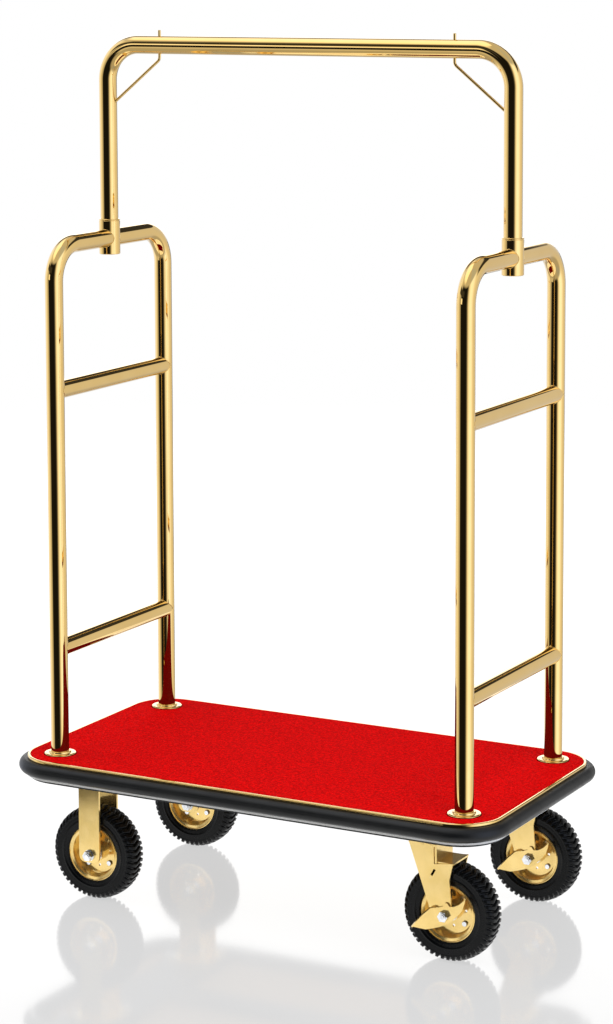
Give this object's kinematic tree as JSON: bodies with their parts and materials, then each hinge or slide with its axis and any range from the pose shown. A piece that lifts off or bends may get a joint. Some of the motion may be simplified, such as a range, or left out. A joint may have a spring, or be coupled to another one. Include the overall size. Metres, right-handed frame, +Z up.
{
  "type": "luggage cart",
  "caption": "Luggage cart: carpeted deck with rubber bumper, bent-tube end frames with rungs, an overhead hanging rail, and pneumatic casters, fixed at one end, braked swivels at the other.",
  "frame": {"origin": "on the floor under the middle of the deck", "axes": "+X along the deck towards the swivel casters, +Y across the deck, +Z up"},
  "size_m": [1.136, 0.624, 1.8335],
  "materials": {
    "polished_brass": "mirror polished",
    "caster_gold": "yellow zinc plated, satin",
    "zinc_steel": "bright zinc plated",
    "pale_strip": "bright",
    "bumper_rubber": "satin",
    "tyre_rubber": "matte",
    "red_carpet": "short needle-punch pile",
    "plywood": "raw",
    "black_steel": "satin black"
  },
  "bodies": {
    "cart": {"deck_frame": "black_steel", "deck_board": "plywood", "carpet": "red_carpet", "upper_trim": "polished_brass", "bumper": "bumper_rubber", "lower_trim": "pale_strip", "hanging_rail": "polished_brass", "post_flanges": "polished_brass", "post_bolts": "zinc_steel", "caster_bolts": "zinc_steel", "left_side_frame": "polished_brass", "left_upper_rung": "polished_brass", "left_lower_rung": "polished_brass", "left_collar": "polished_brass", "left_corner_brace": "polished_brass", "right_side_frame": "polished_brass", "right_upper_rung": "polished_brass", "right_lower_rung": "polished_brass", "right_collar": "polished_brass", "right_corner_brace": "polished_brass", "left_front_fork": "caster_gold", "left_front_axle": "zinc_steel", "left_rear_fork": "caster_gold", "left_rear_axle": "zinc_steel", "right_front_top_plate": "caster_gold", "right_front_swivel_balls": "zinc_steel", "right_front_kingpin": "zinc_steel", "right_rear_top_plate": "caster_gold", "right_rear_swivel_balls": "zinc_steel", "right_rear_kingpin": "zinc_steel"},
    "left_front_wheel": {"left_front_tyre": "tyre_rubber", "left_front_inner_tube": "tyre_rubber", "left_front_outer_rim": "caster_gold", "left_front_inner_rim": "caster_gold", "left_front_hub_bearings": "zinc_steel", "left_front_rim_bolts": "zinc_steel"},
    "left_rear_wheel": {"left_rear_tyre": "tyre_rubber", "left_rear_inner_tube": "tyre_rubber", "left_rear_outer_rim": "caster_gold", "left_rear_inner_rim": "caster_gold", "left_rear_hub_bearings": "zinc_steel", "left_rear_rim_bolts": "zinc_steel"},
    "right_front_wheel": {"right_front_tyre": "tyre_rubber", "right_front_inner_tube": "tyre_rubber", "right_front_outer_rim": "caster_gold", "right_front_inner_rim": "caster_gold", "right_front_hub_bearings": "zinc_steel", "right_front_rim_bolts": "zinc_steel"},
    "right_rear_wheel": {"right_rear_tyre": "tyre_rubber", "right_rear_inner_tube": "tyre_rubber", "right_rear_outer_rim": "caster_gold", "right_rear_inner_rim": "caster_gold", "right_rear_hub_bearings": "zinc_steel", "right_rear_rim_bolts": "zinc_steel"},
    "right_front_swivel": {"right_front_fork": "caster_gold", "right_front_axle": "zinc_steel"},
    "right_front_brake": {"right_front_brake_lever": "caster_gold"},
    "right_rear_swivel": {"right_rear_fork": "caster_gold", "right_rear_axle": "zinc_steel"},
    "right_rear_brake": {"right_rear_brake_lever": "caster_gold"}
  },
  "joints": [
    {"name": "left_front_wheel_spin", "type": "hinge", "parent": "cart", "child": "left_front_wheel", "pos_m": [-0.389, -0.2054, 0.1], "axis": [0, 1, 0], "continuous": true},
    {"name": "left_rear_wheel_spin", "type": "hinge", "parent": "cart", "child": "left_rear_wheel", "pos_m": [-0.389, 0.2054, 0.1], "axis": [0, 1, 0], "continuous": true},
    {"name": "right_front_caster_swivel", "type": "hinge", "parent": "cart", "child": "right_front_swivel", "pos_m": [0.389, -0.2054, 0.249], "axis": [0, 0, 1], "continuous": true},
    {"name": "right_front_wheel_spin", "type": "hinge", "parent": "right_front_swivel", "child": "right_front_wheel", "pos_m": [0.443, -0.2054, 0.1], "axis": [0, 1, 0], "continuous": true},
    {"name": "right_front_brake_press", "type": "hinge", "parent": "right_front_swivel", "child": "right_front_brake", "pos_m": [0.443, -0.2054, 0.1], "axis": [0, -1, 0], "range_deg": [0, 20]},
    {"name": "right_rear_caster_swivel", "type": "hinge", "parent": "cart", "child": "right_rear_swivel", "pos_m": [0.389, 0.2054, 0.249], "axis": [0, 0, 1], "continuous": true},
    {"name": "right_rear_wheel_spin", "type": "hinge", "parent": "right_rear_swivel", "child": "right_rear_wheel", "pos_m": [0.443, 0.2054, 0.1], "axis": [0, 1, 0], "continuous": true},
    {"name": "right_rear_brake_press", "type": "hinge", "parent": "right_rear_swivel", "child": "right_rear_brake", "pos_m": [0.443, 0.2054, 0.1], "axis": [0, -1, 0], "range_deg": [0, 20]}
  ]
}
